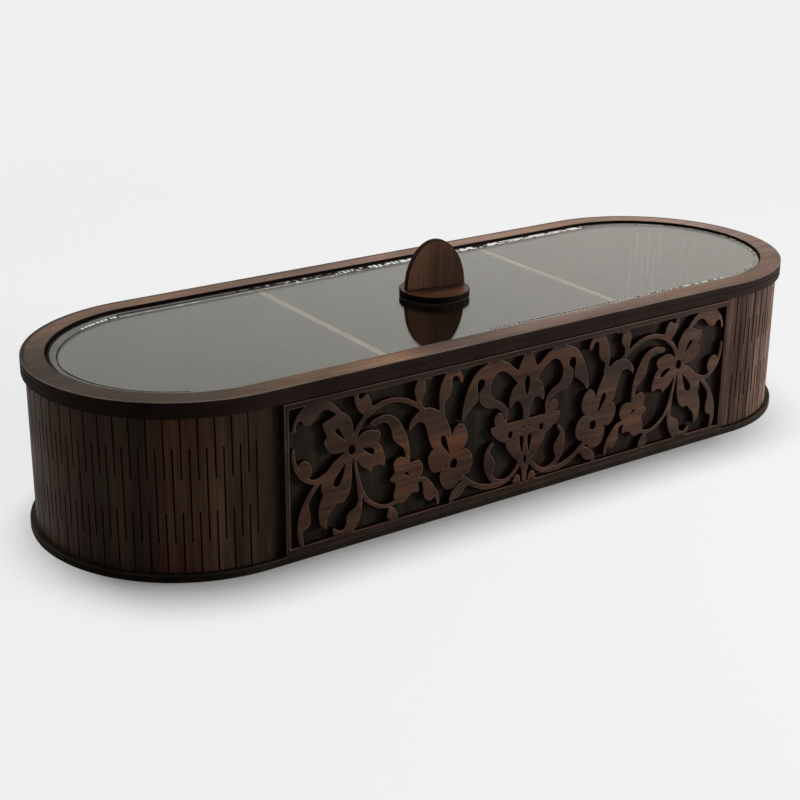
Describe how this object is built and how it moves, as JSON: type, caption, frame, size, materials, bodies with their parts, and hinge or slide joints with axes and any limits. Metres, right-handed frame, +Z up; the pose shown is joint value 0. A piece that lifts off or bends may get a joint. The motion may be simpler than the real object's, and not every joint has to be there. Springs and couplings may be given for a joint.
{
  "type": "serving box",
  "caption": "Long serving box with round ends: bent slit walls, a cut floral scroll panel, divided inside, with a clear knobbed lid that lifts off.",
  "frame": {"origin": "on the ground under the middle of the box", "axes": "+X along the box's length, +Z up, -Y the way the cut scroll panel faces"},
  "size_m": [0.3642, 0.1256, 0.0934],
  "materials": {
    "base_board": "dark walnut stain, satin",
    "wall_board": "dark walnut stain, satin",
    "scroll_board": "walnut stain, satin",
    "rim_board": "walnut stain, satin",
    "divider_board": "walnut stain, satin",
    "lid_clear": "clear sheet, polished faces, cut edges",
    "knob_board": "walnut stain, satin"
  },
  "bodies": {
    "box": {"base_plate": "base_board", "wall_left": "wall_board", "wall_right": "wall_board", "front_fretwork": "scroll_board", "rim_ledge": "rim_board", "rim_frame": "rim_board", "divider_left": "divider_board", "divider_right": "divider_board"},
    "lid": {"lid_panel": "lid_clear", "knob_disc": "knob_board", "knob_blade": "knob_board"}
  },
  "joints": [
    {"name": "lid_lift", "type": "slide", "parent": "box", "child": "lid", "axis": [0, 0, 1], "range_m": [0, 0.08]}
  ]
}
